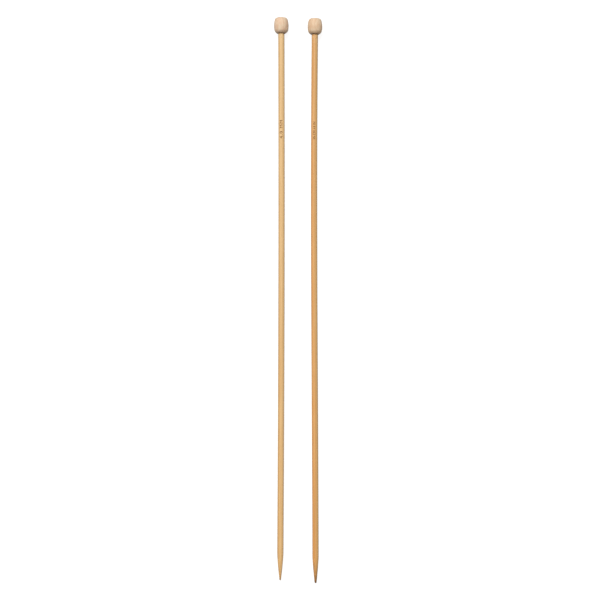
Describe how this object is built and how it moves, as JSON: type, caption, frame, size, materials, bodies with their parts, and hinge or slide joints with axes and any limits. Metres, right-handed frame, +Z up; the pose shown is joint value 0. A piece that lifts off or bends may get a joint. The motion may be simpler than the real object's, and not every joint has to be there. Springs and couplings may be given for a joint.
{
  "type": "straight knitting needles",
  "caption": "Straight single-pointed knitting needles: slim round wooden shafts, tapered to blunt points, each glued into a turned barrel-shaped head that keeps the stitches on.",
  "frame": {"origin": "on the table that the pair lies on, under the middle of the pair's bounding box", "axes": "+Z up from the table; +Y along the needles from their points towards their heads; +X across the pair, from the left needle to the right one"},
  "size_m": [0.0304, 0.3563, 0.0092],
  "materials": {
    "left_shaft_wood": "sanded and waxed bamboo, pale straw",
    "right_shaft_wood": "sanded and waxed bamboo, warm honey",
    "head_wood": "turned and sanded pale hardwood, bare"
  },
  "bodies": {
    "left_needle": {"left_shaft": "left_shaft_wood", "left_head": "head_wood"},
    "right_needle": {"right_shaft": "right_shaft_wood", "right_head": "head_wood"}
  },
  "joints": [
    {"name": "right_needle_slide", "type": "slide", "parent": "left_needle", "child": "right_needle", "axis": [1, 0, 0], "range_m": [-0.0118, 0.12]}
  ]
}
